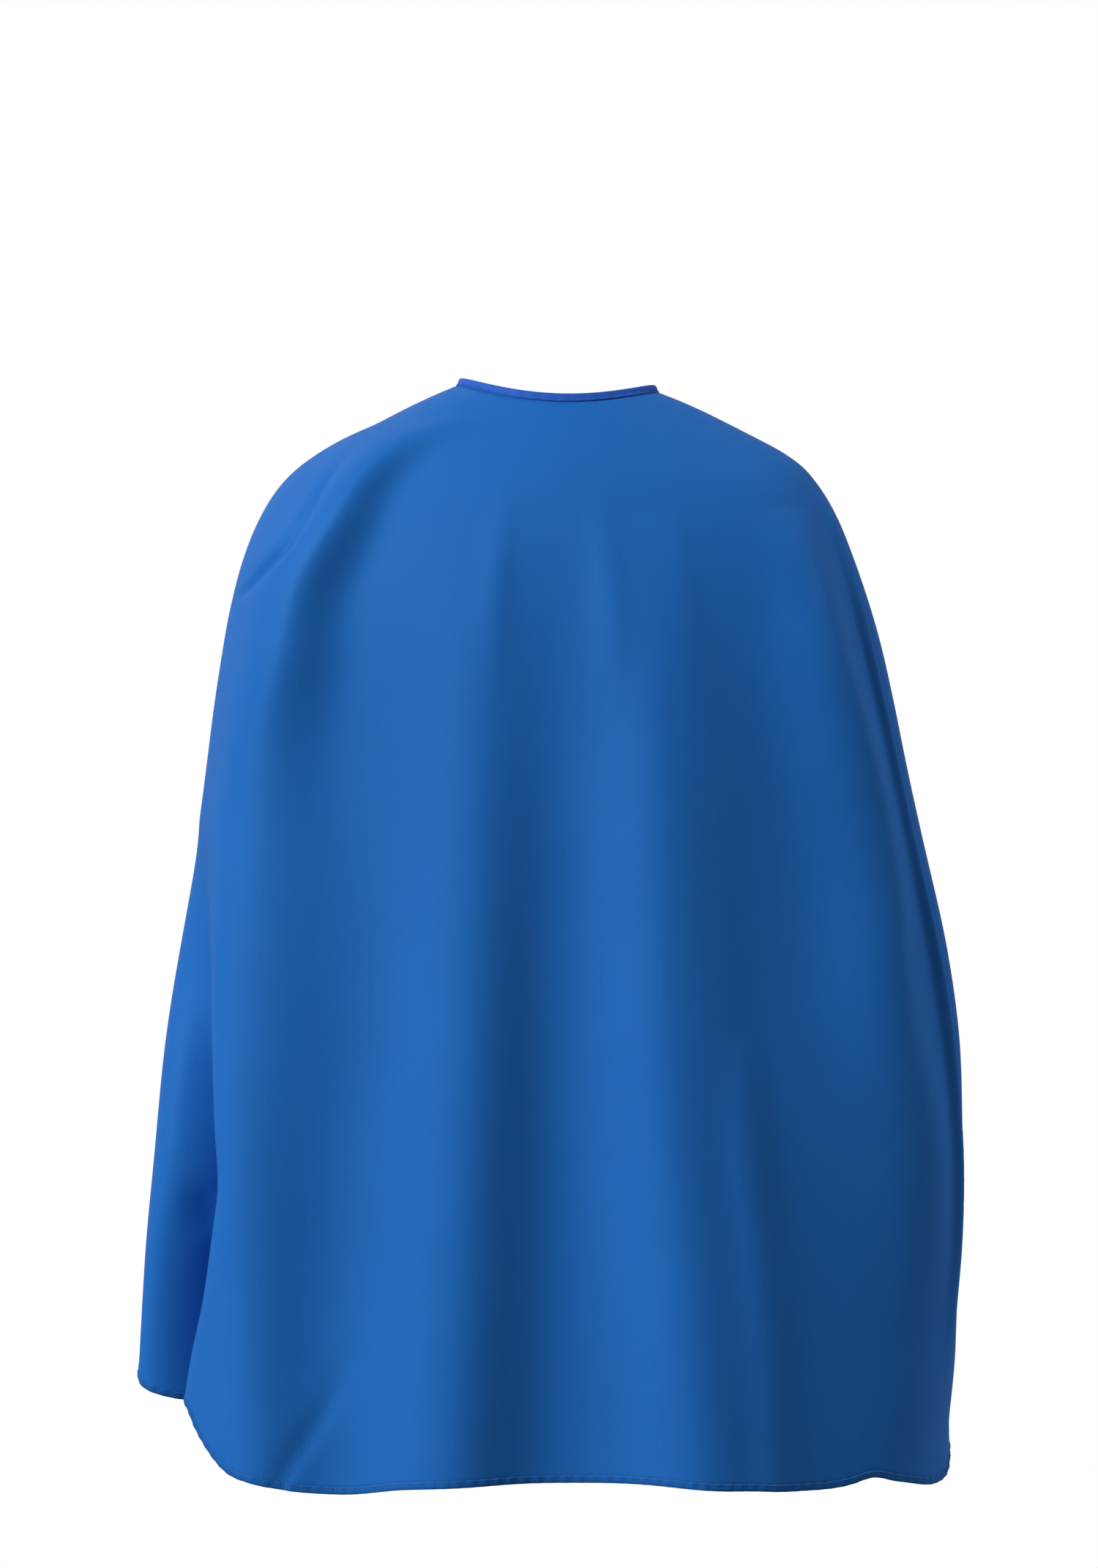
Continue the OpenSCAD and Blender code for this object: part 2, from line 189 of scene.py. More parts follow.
# Folds round the sides and the front. Each knot is (cloth length, angle, how far the crest stands
# proud, half width in degrees towards the back, half width in degrees towards the front).
SIDE_FOLDS = {
    "left_tuck": [(0.48, 70, 0, 9, 12), (0.56, 65, -0.016, 8, 11), (0.64, 60, -0.038, 6, 9.5),
                  (0.70, 57, -0.056, 5, 8), (0.75, 55, -0.066, 4.5, 7), (0.79, 55.6, -0.070, 4, 6.6),
                  (0.84, 57.8, -0.072, 4, 6.6), (0.92, 62, -0.064, 3.5, 6.6), (1.0, 65, -0.052, 3.5, 7)],
    "left_pinch": [(0.81, 60.6, 0, 3, 1.5), (0.84, 62.0, -0.013, 3, 1.5), (0.87, 63.6, -0.017, 3, 1.5),
                   (0.90, 65.3, -0.017, 3, 1.5), (0.94, 67.1, -0.014, 3, 1.5), (1.0, 69, -0.010, 3, 1.5)],
    "left_pocket": [(0.772, 62.0, 0, 2, 1.8), (0.800, 62.4, -0.011, 2, 1.8), (0.828, 62.8, 0, 2, 1.8)],
    "left_wrap": [(0.60, 70, 0, 5, 8), (0.72, 69, 0.003, 5, 8), (0.84, 70, 0.009, 5, 9),
                  (1.0, 74, 0.010, 5, 9)],
    "right_edge": [(0.14, -76, 0, 2.5, 1.8), (0.20, -73, 0.003, 2.5, 1.6), (0.285, -68, 0.006, 2.5, 1.6),
                   (0.435, -66.5, 0.008, 2.5, 1.6), (0.61, -68.5, 0.008, 2.5, 1.6),
                   (0.715, -69, 0.008, 2.5, 1.6), (0.83, -71, 0.006, 2.5, 1.8), (0.90, -71, 0.003, 3, 2.5),
                   (0.96, -71, 0, 3, 3)],
    "right_groove": [(0.16, -84, 0, 4, 4), (0.22, -79, -0.002, 3.5, 4), (0.285, -73, -0.003, 3.2, 4),
                     (0.435, -71.5, -0.0035, 3.2, 4), (0.61, -73.5, -0.004, 3.2, 4),
                     (0.715, -74.5, -0.006, 3.2, 4), (0.83, -79, -0.012, 4, 6), (0.92, -90, -0.022, 8, 14),
                     (1.04, -95, -0.030, 10, 18)],
    "left_front": [(0.25, 114, 0, 7, 6), (0.60, 114, 0.013, 6, 6), (0.95, 114, 0.021, 6, 6)],
    "left_edge": [(0.30, 131, 0, 6, 6), (0.65, 130, 0.010, 5, 6), (0.95, 129, 0.016, 5, 6)],
    "right_front": [(0.25, -112, 0, 6, 6), (0.60, -110, 0.012, 6, 6), (0.95, -109, 0.020, 6, 6)],
    "right_front_edge": [(0.30, -132, 0, 6, 6), (0.65, -129, 0.008, 6, 6), (0.95, -127, 0.012, 6, 6)],
}
# The folds of the back stand half proud of the drape and half behind it
BACK_SINK = [(-1, 0.010), (-0.53, 0.008), (-0.29, 0.004), (-0.12, 0), (0.05, 0)]
BACK_SINK_HALF_WIDTH = 0.25
# The folds of the back die out over this depth from the sides to the back
BACK_FOLD_FADE = 0.03
# Height over which a fold's lean is measured
LEAN_STEP = 0.002
# Two crossing waves: how fast each turns round the wearer, degrees for each metre down, and its start
RIPPLES = [(11, 60, 0), (5.3, -90, 40)]
RIPPLE_HEIGHT, RIPPLE_FROM, RIPPLE_REACH = 0.0012, 0.1, 0.5


def bump(away, left, right):
    """A rounded ridge of height 1 with its own half width on each side."""
    return np.exp(-((away / np.where(away > 0, left, right)) ** 2))


def fold_height(t, s):
    """How far the folds push the cloth outward."""
    x, y, z = np.moveaxis(base(t, s), -1, 0)
    height = np.zeros_like(z)
    for knots in BACK_FOLDS.values():
        at, crest, proud, left, right = np.array(sorted(knots)).T
        line, tall, wide_left, wide_right = (curve(list(zip(at, v)), z) for v in (crest, proud, left, right))
        higher, lower = (curve(list(zip(at, crest)), z + step) for step in (LEAN_STEP, -LEAN_STEP))
        lean = (higher - lower) / (2 * LEAN_STEP)
        away = (x - line) / np.sqrt(1 + lean * lean)
        height += tall * bump(away, wide_left, wide_right)
    height -= curve(BACK_SINK, z) * np.exp(-((x / BACK_SINK_HALF_WIDTH) ** 4))
    height *= smooth(y / BACK_FOLD_FADE)
    for knots in SIDE_FOLDS.values():
        at, crest, proud, back, front = np.array(knots).T
        line, tall, wide_back, wide_front = (curve(list(zip(at, v)), s) for v in (crest, proud, back, front))
        away = (line - t) * np.sign(crest[0])
        height += tall * bump(away, wide_back, wide_front)
    first, second = (np.sin(np.radians(t * turns + s * down + start)) for turns, down, start in RIPPLES)
    return height + RIPPLE_HEIGHT * smooth((s - RIPPLE_FROM) / RIPPLE_REACH) * (first * second)


def edge_angle(s):
    """Angle of the front edges at a length of cloth from the neckline."""
    return np.interp(s, *zip(*FRONT_EDGE))


def cloth_length(u):
    """Length of the cloth at place u, from -1 at the right front edge to 1 at the left one."""
    q = np.clip(1 - (1 - np.abs(u)) / CORNER_PLACE, 0, 1)
    return curve(HEM, u * edge_angle(HEM_READ_AT)) - CORNER_RADIUS * (1 - np.sqrt(1 - q * q))


FINE_PLACES = 2000


def spread(density, count):
    """Places where there are more the higher the density is. Knots are (place, density)."""
    at, thick = np.array(density, float).T
    fine = np.linspace(at[0], at[-1], FINE_PLACES)
    total = np.concatenate([[0], np.cumsum(np.interp(fine, at, thick))[:-1]])
    return np.interp(np.linspace(0, total[-1], count), total, fine)


# Columns from one front edge to the other, crowded at the tucks and in the rounded corners
CORNER_COLUMNS, INNER_COLUMNS, ROW_COUNT = 12, 276, 160
corner = 1 - CORNER_PLACE + CORNER_PLACE * np.sin(np.linspace(0, math.pi / 2, CORNER_COLUMNS + 1))[1:]
inner = spread([(-0.88, 0.45), (-0.57, 0.5), (-0.54, 1.8), (-0.40, 1.8), (-0.36, 0.8), (0.25, 0.8),
                (0.3, 1.5), (0.48, 1.5), (0.55, 0.7), (0.72, 0.5), (0.88, 0.45)], INNER_COLUMNS)
COLUMNS = np.concatenate([-corner[::-1], inner, corner])
ROWS = spread([(0, 1), (0.12, 1), (0.17, 2), (0.29, 2), (0.34, 0.9), (1, 0.9)], ROW_COUNT)


def unit(v):
    return v / np.maximum(np.linalg.norm(v, axis=-1, keepdims=True), 1e-12)


ANGLE_STEP, LENGTH_STEP = 0.25, 0.002


def facing(surface, t, s):
    """Direction out of a surface that is given as a function of angle and cloth length."""
    along = surface(t + ANGLE_STEP, s) - surface(t - ANGLE_STEP, s)
    down = surface(t, s + LENGTH_STEP) - surface(t, np.maximum(s - LENGTH_STEP, 0))
    return unit(np.cross(along, down))


def displaced(t, s):
    """The drape with its folds."""
    return base(t, s) + facing(base, t, s) * fold_height(t, s)[..., None]


def at_angle(t, s, off=0.0):
    """A point at a height off over the cloth, and the direction out of the cloth there.

    The angle t may pass beyond the front edge, as the closure does."""
    t, s = np.broadcast_arrays(np.asarray(t, float), np.asarray(s, float))
    out = facing(displaced, t, s)
    return displaced(t, s) + out * np.asarray(off)[..., None], out


u_grid, row_grid = np.meshgrid(COLUMNS, ROWS)
S_GRID = row_grid * cloth_length(u_grid)
T_GRID = u_grid * edge_angle(S_GRID)
PANEL = displaced(T_GRID, S_GRID)
PANEL_OUT = unit(np.cross(np.gradient(PANEL, axis=1), np.gradient(PANEL, axis=0)))

# ---------------------------------------------------------------- materials


class Nodes:
    """A material's nodes, made one by one."""

    def __init__(self, name):
        self.material = bpy.data.materials.new(name)
        self.material.use_nodes = True
        self.tree = self.material.node_tree
        self.shader = self.tree.nodes["Principled BSDF"]

    def add(self, kind, inputs=(), **settings):
        node = self.tree.nodes.new(kind)
        for key, value in settings.items():
            setattr(node, key, value)
        for socket, value in dict(inputs).items():
            self.set(node, socket, value)
        return node

    def set(self, node, socket, value):
        if isinstance(value, bpy.types.NodeSocket):
            self.tree.links.new(value, node.inputs[socket])
        else:
            node.inputs[socket].default_value = value

    def math(self, operation, a, b=0.0):
        return self.add("ShaderNodeMath", {0: a, 1: b}, operation=operation).outputs[0]

    def noise(self, vector, scale, detail=2.0, roughness=0.5):
        inputs = {"Vector": vector, "Scale": scale, "Detail": detail, "Roughness": roughness}
        return self.add("ShaderNodeTexNoise", inputs).outputs["Fac"]

    def bands(self, vector, direction, scale, distortion, detail_scale=2.0):
        inputs = {"Vector": vector, "Scale": scale, "Distortion": distortion, "Detail Scale": detail_scale}
        return self.add("ShaderNodeTexWave", inputs, bands_direction=direction).outputs["Fac"]

    def stretch(self, vector, by):
        return self.add("ShaderNodeMapping", {"Vector": vector, "Scale": by}).outputs[0]

    def colours(self, factor, stops):
        ramp = self.add("ShaderNodeValToRGB", {"Fac": factor})
        elements = ramp.color_ramp.elements
        while len(elements) < len(stops):
            elements.new(0.5)
        for element, (place, colour) in zip(elements, stops):
            element.position = place
            element.color = (*colour, 1)
        return ramp.outputs[0]

    def bump(self, height, distance, strength, normal=None):
        inputs = {"Height": height, "Distance": distance, "Strength": strength}
        if normal:
            inputs["Normal"] = normal
        return self.add("ShaderNodeBump", inputs).outputs[0]

    def finish(self, **inputs):
        for socket, value in inputs.items():
            self.set(self.shader, socket.replace("_", " "), value)
        return self.material


SATIN_TINT = (0.3, 0.6, 1, 1)


def satin(name, dark, light, roughness, weave_depth):
    """Satin cloth: UVs are metres of cloth, across and down."""
    n = Nodes(name)
    uv = n.add("ShaderNodeTexCoord").outputs["UV"]
    cloudy = n.noise(uv, 5.0, 3.0)
    slubs = n.noise(n.stretch(uv, (900, 14, 1)), 1.0, 2.0)
    mixed = n.math("ADD", n.math("MULTIPLY", cloudy, 0.65), n.math("MULTIPLY", slubs, 0.35))
    colour = n.colours(mixed, [(0.3, dark), (0.7, light)])
    warp, weft = n.bands(uv, "X", 420.0, 1.5), n.bands(uv, "Y", 560.0, 2.5)
    weave = n.math("ADD", warp, n.math("MULTIPLY", weft, 0.5))
    soft = n.noise(uv, 38.0, 3.0, 0.55)
    normal = n.bump(soft, 0.0006, 0.5)
    normal = n.bump(weave, weave_depth, 0.6, normal)
    spread_of_gloss = {"Value": slubs, "To Min": roughness - 0.05, "To Max": roughness + 0.05}
    rough = n.add("ShaderNodeMapRange", spread_of_gloss).outputs[0]
    return n.finish(Base_Color=colour, Roughness=rough, Normal=normal, Sheen_Weight=0.03,
                    Sheen_Roughness=0.45, Sheen_Tint=SATIN_TINT, Specular_IOR_Level=0.2,
                    Specular_Tint=SATIN_TINT)


def thread_material(name, dark, light):
    """Twisted sewing thread."""
    n = Nodes(name)
    uv = n.add("ShaderNodeTexCoord").outputs["UV"]
    twist = n.bands(uv, "DIAGONAL", 900.0, 0.6, 1.0)
    colour = n.colours(twist, [(0.1, dark), (0.8, light)])
    return n.finish(Base_Color=colour, Roughness=0.55, Normal=n.bump(twist, 0.00006, 0.7),
                    Sheen_Weight=0.2, Sheen_Roughness=0.5)


def tape_material(name, dark, light, pitch, roughness):
    """Woven tape: ribs across, UVs in metres."""
    n = Nodes(name)
    uv = n.add("ShaderNodeTexCoord").outputs["UV"]
    ribs, cross = n.bands(uv, "Y", 0.32 / pitch, 0.4, 1.0), n.bands(uv, "X", 0.2 / pitch, 0.8, 1.0)
    weave = n.math("MULTIPLY", ribs, n.math("ADD", cross, 0.4))
    fuzz = n.noise(uv, 700.0, 3.0)
    colour = n.colours(n.math("ADD", n.math("MULTIPLY", weave, 0.6), n.math("MULTIPLY", fuzz, 0.4)),
                       [(0.2, dark), (0.8, light)])
    return n.finish(Base_Color=colour, Roughness=roughness, Normal=n.bump(weave, pitch * 0.4, 0.6),
                    Sheen_Weight=0.25, Sheen_Roughness=0.5)


def nylon_material(name, dark, light):
    """Smooth moulded nylon."""
    n = Nodes(name)
    place = n.add("ShaderNodeTexCoord").outputs["Object"]
    grain = n.noise(place, 900.0, 2.0)
    return n.finish(Base_Color=n.colours(grain, [(0.3, dark), (0.7, light)]), Roughness=0.38,
                    Normal=n.bump(grain, 0.00004, 0.4))


SATIN = satin("satin_face", (0.0140, 0.130, 0.470), (0.0165, 0.144, 0.515), 0.52, 0.00005)
REVERSE = satin("satin_reverse", (0.0140, 0.106, 0.385), (0.0160, 0.118, 0.420), 0.68, 0.00006)
# The hem's satin is darker than the face satin: the darkening is painted shade, for the dark line along the
# rolled hem's edge.
HEM_SATIN_PAINTED_SHADE = satin("satin_hem_painted_shade", (0.0110, 0.105, 0.385), (0.0130, 0.118, 0.425), 0.56, 0.00005)
BINDING = satin("binding_satin", (0.022, 0.100, 0.480), (0.027, 0.112, 0.525), 0.54, 0.00005)
THREAD = thread_material("sewing_thread", (0.006, 0.062, 0.250), (0.012, 0.095, 0.350))
HOOK_TAPE = tape_material("hook_tape", (0.006, 0.008, 0.014), (0.016, 0.020, 0.032), 0.0006, 0.6)
LOOP_TAPE = tape_material("loop_tape", (0.008, 0.011, 0.020), (0.024, 0.030, 0.050), 0.0006, 0.75)
HOOKS = nylon_material("hook_nylon", (0.010, 0.013, 0.020), (0.022, 0.027, 0.040))
LABEL_RIBBON = tape_material("label_ribbon", (0.74, 0.74, 0.70), (0.88, 0.88, 0.84), 0.0005, 0.55)

# ---------------------------------------------------------------- mesh builders

# Metres of texture for each radian round a thread
THREAD_UV = 0.0002


def make_mesh(name, points, faces, materials, uvs, slots=None):
    """A smooth mesh object. uvs holds one pair for each point, and slots one material index for each face."""
    mesh = bpy.data.meshes.new(name)
    mesh.from_pydata(points.tolist(), [], faces)
    for material in materials:
        mesh.materials.append(material)
    corners = np.zeros(len(mesh.loops), np.int32)
    mesh.loops.foreach_get("vertex_index", corners)
    layer = mesh.uv_layers.new(name="UVMap")
    layer.data.foreach_set("uv", np.asarray(uvs, np.float32)[corners].ravel())
    if slots is not None:
        mesh.polygons.foreach_set("material_index", np.asarray(slots, np.int32))
    mesh.polygons.foreach_set("use_smooth", [True] * len(mesh.polygons))
    mesh.update()
    thing = bpy.data.objects.new(name, mesh)
    bpy.context.collection.objects.link(thing)
    return thing


def grid_faces(rows, cols, start=0, flip=False):
    """Faces of a grid of points whose first index is start."""
    a = (np.arange(rows - 1)[:, None] * cols + np.arange(cols - 1)).ravel() + start
    quad = np.stack([a, a + 1, a + cols + 1, a + cols], 1)
    return quad[:, ::-1] if flip else quad


def rim(rows, cols):
    """Indices round a grid's border, in order."""
    top = np.arange(cols)
    right = np.arange(1, rows) * cols + cols - 1
    bottom = (rows - 1) * cols + np.arange(cols - 2, -1, -1)
    left = np.arange(rows - 2, 0, -1) * cols
    return np.concatenate([top, right, bottom, left])


def shell(name, points, out, low, high, uvs, materials):
    """A closed sheet from a grid of points, between the offsets low and high along out."""
    rows, cols = points.shape[:2]
    count = rows * cols
    low, high = (np.broadcast_to(np.asarray(v, float), (rows, cols))[..., None] for v in (low, high))
    both = np.concatenate([(points + out * high).reshape(-1, 3), (points + out * low).reshape(-1, 3)])
    edge = rim(rows, cols)
    after = np.roll(edge, -1)
    wall = np.stack([after, edge, edge + count, after + count], 1)
    front, back = grid_faces(rows, cols), grid_faces(rows, cols, count, flip=True)
    faces = np.concatenate([front, back, wall])
    slots = np.zeros(len(faces))
    slots[len(front):len(front) + len(back)] = len(materials) - 1
    return make_mesh(name, both, faces.tolist(), materials, np.concatenate([uvs.reshape(-1, 2)] * 2), slots)


def sweep(name, rings, uvs, materials):
    """A closed strip from rings of points: rings is (along, round, 3), with flat ends."""
    count, sides = rings.shape[:2]
    a = (np.arange(count - 1)[:, None] * sides + np.arange(sides)).ravel()
    b = (np.arange(count - 1)[:, None] * sides + (np.arange(sides) + 1) % sides).ravel()
    faces = np.stack([a, b, b + sides, a + sides], 1).tolist()
    faces += [list(range(sides - 1, -1, -1)), list(range((count - 1) * sides, count * sides))]
    return make_mesh(name, rings.reshape(-1, 3), faces, materials, uvs.reshape(-1, 2))


def line_distance(points):
    """Distance along a line of points from its start to each of them."""
    return np.concatenate([[0], np.cumsum(np.linalg.norm(np.diff(points, axis=0), axis=1))])


def tubes(name, paths, radius, materials, sides=6):
    """Many short closed tubes in one mesh: paths is (tube, place, 3), with one radius for each place."""
    number, places = paths.shape[:2]
    ahead = unit(np.gradient(paths, axis=1))
    helper = np.where(np.abs(ahead[:, :1, 2:]) < 0.8, np.array([0, 0, 1.0]), np.array([1.0, 0, 0]))
    side = unit(np.cross(ahead, helper))
    third = np.cross(ahead, side)
    turn = np.arange(sides) * 2 * math.pi / sides
    around = side[:, :, None] * np.cos(turn)[:, None] + third[:, :, None] * np.sin(turn)[:, None]
    points = paths[:, :, None] + around * np.asarray(radius).reshape(1, -1, 1, 1)
    start = (np.arange(number) * places * sides)[:, None, None]
    ring = (np.arange(places - 1) * sides)[None, :, None]
    k = np.arange(sides)[None, None]
    a, b = start + ring + k, start + ring + (k + 1) % sides
    quads = np.stack([a, b, b + sides, a + sides], -1).reshape(-1, 4).tolist()
    first = (start[:, 0] + np.arange(sides)[::-1]).tolist()
    last = (start[:, 0] + (places - 1) * sides + np.arange(sides)).tolist()
    along = line_distance(paths[0])
    uv = np.stack(np.broadcast_arrays(turn[None, None] * THREAD_UV, along[None, :, None]), -1)
    uv = np.broadcast_to(uv, (number, places, sides, 2)).reshape(-1, 2)
    return make_mesh(name, points.reshape(-1, 3), quads + first + last, materials, uv)


def resampled(points, pitch):
    """Places along a line of points, about a pitch apart, as fractions of its index."""
    length = line_distance(points)
    count = max(2, int(round(length[-1] / pitch)) + 1)
    return np.interp(np.linspace(0, length[-1], count), length, np.arange(len(points)))


def along_line(values, place):
    """Values at fractional indices of a line."""
    i = np.minimum(place.astype(int), len(values) - 2)
    f = (place - i).reshape(-1, *[1] * (values.ndim - 1))
    return values[i] * (1 - f) + values[i + 1] * f


STITCH_PITCH, STITCH_LENGTH = 0.0032, 0.0026
SHORT_PITCH, SHORT_LENGTH = 0.0028, 0.0022
THREAD_RADIUS = 0.00022
# Places along a stitch as shares of its length, and its height and thickness there in thread radii
STITCH_PLACES = np.array([-0.5, -0.36, 0, 0.36, 0.5])
STITCH_LIFT = np.array([-1.3, 0.3, 0.6, 0.3, -1.3]) * THREAD_RADIUS
STITCH_RADII = np.array([0.7, 1, 1.05, 1, 0.7]) * THREAD_RADIUS
STITCH_STRAY = 0.00006


def stitch_paths(points, out, pitch=STITCH_PITCH, length=STITCH_LENGTH):
    """Paths of single stitches along a line on the cloth; each dives into the cloth at both ends."""
    place = resampled(points, pitch)
    centre, up = along_line(points, place), unit(along_line(out, place))
    ahead = unit(np.gradient(centre, axis=0))
    centre, up, ahead = centre[1:-1], up[1:-1], ahead[1:-1]
    across = np.cross(up, ahead) * random.normal(0, STITCH_STRAY, (len(centre), 1))
    forward = STITCH_PLACES * length
    return (centre + across)[:, None] + ahead[:, None] * forward[:, None] + up[:, None] * STITCH_LIFT[:, None]


def both_faces(points, out, half):
    """Stitches of one line on the outer and the inner face of cloth of that half thickness."""
    return np.concatenate([stitch_paths(points + out * half, out), stitch_paths(points - out * half, -out)])


# ---------------------------------------------------------------- cape panel

CLOTH = 0.0006
# Distance across the cloth along each row, measured from the middle column, for the panel's texture
across = np.cumsum(np.linalg.norm(np.diff(PANEL, axis=1, prepend=PANEL[:, :1]), axis=-1), axis=1)
middle_column = np.argmin(np.abs(COLUMNS))
panel_uv = np.stack([across - across[:, middle_column:middle_column + 1], S_GRID], -1)
panel = shell("cape_panel", PANEL, PANEL_OUT, -CLOTH / 2, CLOTH / 2, panel_uv, [SATIN, REVERSE])
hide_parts("shoulder_yoke", "back_drape", "left_wrap", "right_wrap")
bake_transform(panel)

# ---------------------------------------------------------------- rolled hem and its stitches

HEM_WIDTH, HEM_THICK, HEM_OVERHANG = 0.0065, 0.0017, 0.0012
HEM_PITCH = 0.003
HEM_STITCH_INSET = 0.0026
PUCKER_HEIGHT, PUCKER_PITCH, PUCKER_DRIFT = 0.00035, 0.011, 23
# The hem starts this many rows below the neckline, under the binding
FIRST_HEM_ROW = 6
HEM_SIDES = 12
HEM_UV_GAP = 0.004


def round_border(grid):
    """A grid's values down the right front edge, along the hem and up the left front edge."""
    return np.concatenate([grid[FIRST_HEM_ROW:, 0], grid[-1, 1:-1], grid[FIRST_HEM_ROW:, -1][::-1]])


border = round_border(PANEL)
hem_place = resampled(border, HEM_PITCH)
hem_line, hem_out = along_line(border, hem_place), unit(along_line(round_border(PANEL_OUT), hem_place))
hem_ahead = unit(np.gradient(hem_line, axis=0))
hem_in = unit(np.cross(hem_ahead, hem_out))
if hem_in[len(hem_line) // 2, 2] < 0:
    hem_in = -hem_in
hem_distance = np.arange(len(hem_line)) * HEM_PITCH
pucker_phase = hem_distance * 2 * math.pi / PUCKER_PITCH + 2 * np.sin(hem_distance * PUCKER_DRIFT)
pucker = PUCKER_HEIGHT * np.sin(pucker_phase)
# The hem's section is a flat box with rounded corners
turn = np.radians((np.arange(HEM_SIDES) + 0.5) * 360 / HEM_SIDES)
squared = (np.abs(np.cos(turn)) ** 4 + np.abs(np.sin(turn)) ** 4) ** -0.25
section_in = HEM_WIDTH / 2 * (1 + squared * np.cos(turn)) - HEM_OVERHANG
section_out = HEM_THICK / 2 * squared * np.sin(turn)
hem_rings = (hem_line[:, None] + hem_in[:, None] * section_in[:, None]
             + hem_out[:, None] * (section_out + pucker[:, None])[..., None])
# The texture of the inner face lies beside that of the outer one
face_gap = HEM_UV_GAP * np.sign(section_out)
hem_uv = np.stack(np.broadcast_arrays(hem_distance[:, None], section_in + face_gap), -1)
hem = sweep("rolled_hem", hem_rings, hem_uv, [HEM_SATIN_PAINTED_SHADE])
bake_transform(hem)

stitch_line = hem_line + hem_in * (HEM_WIDTH - HEM_STITCH_INSET) + hem_out * pucker[:, None]
edge_stitches = tubes("hem_stitches", both_faces(stitch_line, hem_out, HEM_THICK / 2), STITCH_RADII, [THREAD])
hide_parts("hem_stitching", "yoke_edge_stitching")
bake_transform(edge_stitches)

# ---------------------------------------------------------------- neck binding and its stitches

BINDING_TOP, BINDING_LAP, BINDING_HALF = 0.0062, 0.0022, 0.0013
BINDING_LEAN = 0.25
BINDING_INSIDE = 0.00045
# The stitches run at this share of the way down the lap, just over the tape
SEWN_SHARE, SEWN_HEIGHT = 0.65, BINDING_HALF * 1.02
WOBBLE_HEIGHT, WOBBLE_PITCH, WOBBLE_DRIFT = 0.00025, 0.013, 31
NECK_COLUMNS = 300
neck_end = edge_angle(0)
neck_t = np.linspace(-neck_end, neck_end, NECK_COLUMNS)
foot = at_angle(neck_t, np.zeros_like(neck_t))[0]
lapped, lap_out = at_angle(neck_t, np.full_like(neck_t, BINDING_LAP))
neck_angle = np.radians(neck_t)
outward = unit(np.stack([np.sin(neck_angle) / NECK_HALF_WIDTH, np.cos(neck_angle) / NECK_HALF_DEPTH,
                         np.zeros_like(neck_t)], -1))
rise = unit(np.array([0, 0, 1.0]) - BINDING_LEAN * outward)
neck_distance = line_distance(foot)
wobble_phase = neck_distance * 2 * math.pi / WOBBLE_PITCH + np.sin(neck_distance * WOBBLE_DRIFT)
wobble = WOBBLE_HEIGHT * np.sin(wobble_phase)


def binding_ring(side, places):
    """Points of the tape on one side of the cloth. Places are (height, distance from its middle)."""
    ring = []
    for height, off in places:
        up = max(height, 0)
        low = max(-height, 0) / BINDING_LAP
        point = foot * (1 - low) + lapped * low + rise * up
        away = outward if up > 0 else lap_out
        ring.append(point + away * (side * off + wobble)[:, None])
    return ring


flank = [(-BINDING_LAP, BINDING_HALF * 0.95), (-BINDING_LAP * 0.5, BINDING_HALF * 1.1),
         (0.0005, BINDING_HALF * 1.2), (BINDING_TOP * 0.5, BINDING_HALF * 1.2),
         (BINDING_TOP * 0.8, BINDING_HALF)]
fold = [(BINDING_TOP * 0.95, BINDING_HALF * 0.6), (BINDING_TOP, 0.0)]
ring = binding_ring(1, flank + fold) + binding_ring(-1, (flank + fold[:1])[::-1])
for side in (-1, 1):
    ring += binding_ring(side, [(-BINDING_LAP, BINDING_INSIDE)])
rings = np.stack(ring, 1)
around = line_distance(rings[NECK_COLUMNS // 2])
binding_uv = np.stack(np.broadcast_arrays(neck_distance[:, None], around[None]), -1)
binding = sweep("binding_tape", rings[:, ::-1], binding_uv[:, ::-1], [BINDING])
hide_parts("neck_binding")
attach(binding, "yoke")

sewn = foot * (1 - SEWN_SHARE) + lapped * SEWN_SHARE
binding_stitches = tubes("binding_stitches", both_faces(sewn, lap_out, SEWN_HEIGHT), STITCH_RADII, [THREAD])
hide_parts("neck_stitching")
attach(binding_stitches, "yoke")

# ---------------------------------------------------------------- throat closure

# Angles and cloth lengths of the strap and its pads. The strap is sewn down from STRAP_SEWN to STRAP_ROOT.
STRAP_SEWN, STRAP_ROOT, STRAP_END = 160, 174, 212
STRAP_TOP, STRAP_TALL, STRAP_THICK = 0.002, 0.022, 0.0011
STRAP_BOTTOM = STRAP_TOP + STRAP_TALL
STRAP_CORNER, PAD_CORNER = 0.004, 0.0015
PAD_START, PAD_END = 189, 210
PAD_INSET, PAD_STITCH_INSET, PAD_STITCH_ANGLE = 0.002, 0.003, 0.8
PAD_BASE = 0.0006
# Heights over the middle of the cloth
STRAP_REST, LOOP_BOTTOM, HOOK_TOP = 0.0004, 0.0003, 0.0035
# Angles over which the strap climbs on to its pads, and of the stitched box at its sewn end
CLIMB_START, CLIMB_WIDTH = 166, 7
BOX_START, BOX_END = STRAP_SEWN + 1.4, STRAP_SEWN + 6
STRAP_GRID, PAD_GRID = (90, 13), (50, 14)
LONG_SIDE_PLACES, SHORT_SIDE_PLACES = 60, 30
# Metres of cloth for each degree round the neckline
PER_DEGREE = 0.0019


def strap_offset(t):
    """Height of the strap's underside over the middle of the cloth: it climbs on to its pads."""
    return STRAP_REST + (HOOK_TOP - STRAP_REST) * smooth((t - CLIMB_START) / CLIMB_WIDTH)


def rounded_patch(t0, t1, s0, s1, radius, cols, rows):
    """A grid over a rectangle on the cloth whose corners are rounded. Returns angles and lengths."""
    a, b = np.meshgrid(np.linspace(0, 1, cols), np.linspace(-1, 1, rows))
    wide = (t1 - t0) * PER_DEGREE
    near = np.clip(1 - np.minimum(a, 1 - a) * wide / radius, 0, 1)
    inset = radius * (1 - np.sqrt(1 - near ** 2))
    half = (s1 - s0) / 2 - inset
    return t0 + (t1 - t0) * a, (s0 + s1) / 2 + b * half


